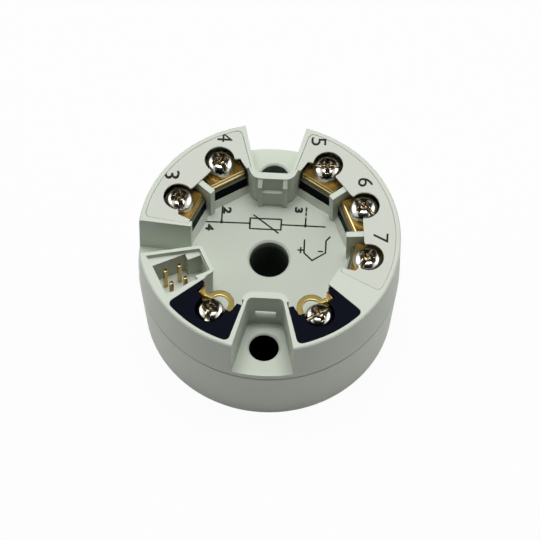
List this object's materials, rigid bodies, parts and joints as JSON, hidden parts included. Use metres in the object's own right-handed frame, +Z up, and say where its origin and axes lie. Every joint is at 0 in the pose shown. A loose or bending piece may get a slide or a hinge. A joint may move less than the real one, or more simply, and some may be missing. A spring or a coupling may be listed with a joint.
{
  "type": "temperature_head_transmitter",
  "caption": "Round head transmitter for temperature sensors, with screw terminals around an open middle, two mounting notches, a service socket and a potted housing",
  "frame": {"origin": "Centre of the flat base, on the surface the transmitter stands on", "axes": "+Z is up through the centre bore; +Y points to the mounting notch between terminals 4 and 5; +X points to the side of terminals 5 to 7"},
  "size_m": [0.044, 0.044, 0.0241],
  "materials": {
    "housing_plastic": "fine satin moulding",
    "label_plastic": "smooth matt",
    "carrier_black": "glossy moulding",
    "carrier_navy": "satin moulding",
    "contact_brass": "plated, sheared edges",
    "screw_nickel": "nickel plate",
    "pin_gold": "gold plate",
    "board_laminate": "solder mask",
    "ferrite": "sintered",
    "copper_wire": "enamelled",
    "chip_plastic": "moulded",
    "capacitor_sleeve": "sleeve",
    "potting_resin": "cast"
  },
  "bodies": {
    "housing": {"lower_housing": "housing_plastic", "upper_housing": "housing_plastic", "label_plate_left": "label_plastic", "label_plate_right": "label_plastic", "carrier_1": "carrier_navy", "carrier_2": "carrier_navy", "carrier_3": "carrier_black", "carrier_4": "carrier_black", "carrier_5": "carrier_black", "carrier_6": "carrier_black", "carrier_7": "carrier_black", "contact_plate_1": "contact_brass", "contact_plate_2": "contact_brass", "contact_plate_3": "contact_brass", "contact_plate_4": "contact_brass", "contact_plate_5": "contact_brass", "contact_plate_6": "contact_brass", "contact_plate_7": "contact_brass", "lug_loop_1": "contact_brass", "lug_loop_2": "contact_brass", "pin_header": "housing_plastic", "contact_pins": "pin_gold", "circuit_board": "board_laminate", "transformer_core": "ferrite", "transformer_coil": "copper_wire", "microcontroller": "chip_plastic", "converter_chips": "chip_plastic", "storage_capacitors": "capacitor_sleeve", "potting_compound": "potting_resin"},
    "clamp_1": {"clamp_plate_1": "contact_brass"},
    "screw_1": {"screw_1": "screw_nickel"},
    "clamp_2": {"clamp_plate_2": "contact_brass"},
    "screw_2": {"screw_2": "screw_nickel"},
    "clamp_3": {"clamp_plate_3": "contact_brass"},
    "screw_3": {"screw_3": "screw_nickel"},
    "clamp_4": {"clamp_plate_4": "contact_brass"},
    "screw_4": {"screw_4": "screw_nickel"},
    "clamp_5": {"clamp_plate_5": "contact_brass"},
    "screw_5": {"screw_5": "screw_nickel"},
    "clamp_6": {"clamp_plate_6": "contact_brass"},
    "screw_6": {"screw_6": "screw_nickel"},
    "clamp_7": {"clamp_plate_7": "contact_brass"},
    "screw_7": {"screw_7": "screw_nickel"}
  },
  "joints": [
    {"name": "clamp_slide_1", "type": "slide", "parent": "housing", "child": "clamp_1", "axis": [0, 0, 1], "range_m": [0, 0.0016]},
    {"name": "screw_turn_1", "type": "hinge", "parent": "clamp_1", "child": "screw_1", "pos_m": [0.00906, -0.01427, 0.02205], "axis": [0, 0, 1], "range_deg": [0, 1153]},
    {"name": "clamp_slide_2", "type": "slide", "parent": "housing", "child": "clamp_2", "axis": [0, 0, 1], "range_m": [0, 0.0016]},
    {"name": "screw_turn_2", "type": "hinge", "parent": "clamp_2", "child": "screw_2", "pos_m": [-0.00906, -0.01427, 0.02205], "axis": [0, 0, 1], "range_deg": [0, 1153]},
    {"name": "clamp_slide_3", "type": "slide", "parent": "housing", "child": "clamp_3", "axis": [0, 0, 1], "range_m": [0, 0.0016]},
    {"name": "screw_turn_3", "type": "hinge", "parent": "clamp_3", "child": "screw_3", "pos_m": [-0.01549, 0.00677, 0.02205], "axis": [0, 0, 1], "range_deg": [0, 1153]},
    {"name": "clamp_slide_4", "type": "slide", "parent": "housing", "child": "clamp_4", "axis": [0, 0, 1], "range_m": [0, 0.0016]},
    {"name": "screw_turn_4", "type": "hinge", "parent": "clamp_4", "child": "screw_4", "pos_m": [-0.00906, 0.01427, 0.02205], "axis": [0, 0, 1], "range_deg": [0, 1153]},
    {"name": "clamp_slide_5", "type": "slide", "parent": "housing", "child": "clamp_5", "axis": [0, 0, 1], "range_m": [0, 0.0016]},
    {"name": "screw_turn_5", "type": "hinge", "parent": "clamp_5", "child": "screw_5", "pos_m": [0.00906, 0.01427, 0.02205], "axis": [0, 0, 1], "range_deg": [0, 1153]},
    {"name": "clamp_slide_6", "type": "slide", "parent": "housing", "child": "clamp_6", "axis": [0, 0, 1], "range_m": [0, 0.0016]},
    {"name": "screw_turn_6", "type": "hinge", "parent": "clamp_6", "child": "screw_6", "pos_m": [0.01549, 0.00677, 0.02205], "axis": [0, 0, 1], "range_deg": [0, 1153]},
    {"name": "clamp_slide_7", "type": "slide", "parent": "housing", "child": "clamp_7", "axis": [0, 0, 1], "range_m": [0, 0.0016]},
    {"name": "screw_turn_7", "type": "hinge", "parent": "clamp_7", "child": "screw_7", "pos_m": [0.01662, -0.00305, 0.02205], "axis": [0, 0, 1], "range_deg": [0, 1153]}
  ],
  "couplings": [
    {"joint": "screw_turn_1", "follows": "clamp_slide_1", "rad_per_m": 12566},
    {"joint": "screw_turn_2", "follows": "clamp_slide_2", "rad_per_m": 12566},
    {"joint": "screw_turn_3", "follows": "clamp_slide_3", "rad_per_m": 12566},
    {"joint": "screw_turn_4", "follows": "clamp_slide_4", "rad_per_m": 12566},
    {"joint": "screw_turn_5", "follows": "clamp_slide_5", "rad_per_m": 12566},
    {"joint": "screw_turn_6", "follows": "clamp_slide_6", "rad_per_m": 12566},
    {"joint": "screw_turn_7", "follows": "clamp_slide_7", "rad_per_m": 12566}
  ]
}
